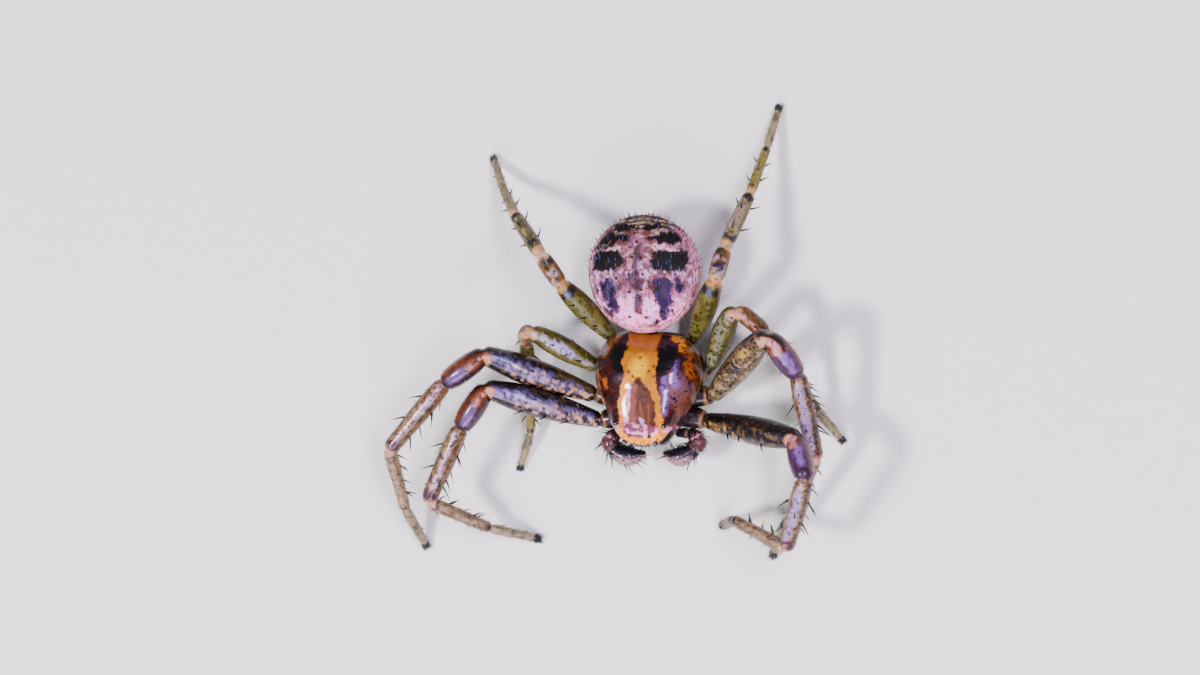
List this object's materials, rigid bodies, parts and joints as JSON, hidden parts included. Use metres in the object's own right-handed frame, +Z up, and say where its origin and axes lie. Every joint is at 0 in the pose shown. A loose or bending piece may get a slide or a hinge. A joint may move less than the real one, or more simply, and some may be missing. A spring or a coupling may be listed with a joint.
{
  "type": "crab spider",
  "caption": "Still life-size ground crab spider, standing with its long front legs swept forward and round.",
  "frame": {"origin": "on the floor under the middle of the whole animal's bounding box", "axes": "+Z up from the floor, the head to -Y and the abdomen to +Y, the animal's left side to +X"},
  "size_m": [0.0102, 0.01, 0.0029],
  "materials": {
    "eye": "wet black",
    "carapace": "glossy, translucent red-brown cuticle with an orange band",
    "abdomen": "matt, finely wrinkled skin with dark bars and short bristles",
    "underside": "satin brown cuticle",
    "spinnerets": "matt, brown",
    "chelicera": "glossy brown cuticle",
    "palp": "satin dark purple cuticle with pale hairs",
    "front_leg_upper": "satin black-violet cuticle mottled with cream",
    "front_leg_lower": "satin brown cuticle with pale lines and black spines",
    "rear_leg_upper": "satin olive cuticle with dark dots",
    "rear_leg_lower": "satin olive-tan cuticle with dark rings"
  },
  "bodies": {
    "root": {"eye_anterior_median_right": "eye", "eye_anterior_median_left": "eye", "eye_anterior_lateral_right": "eye", "eye_anterior_lateral_left": "eye", "eye_posterior_median_right": "eye", "eye_posterior_median_left": "eye", "eye_posterior_lateral_right": "eye", "eye_posterior_lateral_left": "eye", "carapace": "carapace", "abdomen": "abdomen", "sternum": "underside", "pedicel": "underside", "spinnerets": "spinnerets", "chelicera_right": "chelicera", "palp_right_arm": "palp", "palp_right_club": "palp", "chelicera_left": "chelicera", "palp_left_arm": "palp", "palp_left_club": "palp", "leg_right_1_femur": "front_leg_upper", "leg_right_1_patella": "front_leg_upper", "leg_right_1_tibia": "front_leg_lower", "leg_right_1_metatarsus": "front_leg_lower", "leg_right_1_tarsus": "front_leg_lower", "leg_left_1_femur": "front_leg_upper", "leg_left_1_patella": "front_leg_upper", "leg_left_1_tibia": "front_leg_lower", "leg_left_1_metatarsus": "front_leg_lower", "leg_left_1_tarsus": "front_leg_lower", "leg_right_2_femur": "front_leg_upper", "leg_right_2_patella": "front_leg_upper", "leg_right_2_tibia": "front_leg_lower", "leg_right_2_metatarsus": "front_leg_lower", "leg_right_2_tarsus": "front_leg_lower", "leg_left_2_femur": "front_leg_upper", "leg_left_2_patella": "front_leg_upper", "leg_left_2_tibia": "front_leg_lower", "leg_left_2_metatarsus": "front_leg_lower", "leg_left_2_tarsus": "front_leg_lower", "leg_right_3_femur": "rear_leg_upper", "leg_right_3_patella": "rear_leg_upper", "leg_right_3_tibia": "rear_leg_lower", "leg_right_3_metatarsus": "rear_leg_lower", "leg_right_3_tarsus": "rear_leg_lower", "leg_left_3_femur": "rear_leg_upper", "leg_left_3_patella": "rear_leg_upper", "leg_left_3_tibia": "rear_leg_lower", "leg_left_3_metatarsus": "rear_leg_lower", "leg_left_3_tarsus": "rear_leg_lower", "leg_right_4_femur": "rear_leg_upper", "leg_right_4_patella": "rear_leg_upper", "leg_right_4_tibia": "rear_leg_lower", "leg_right_4_metatarsus": "rear_leg_lower", "leg_right_4_tarsus": "rear_leg_lower", "leg_left_4_femur": "rear_leg_upper", "leg_left_4_patella": "rear_leg_upper", "leg_left_4_tibia": "rear_leg_lower", "leg_left_4_metatarsus": "rear_leg_lower", "leg_left_4_tarsus": "rear_leg_lower"}
  },
  "joints": []
}
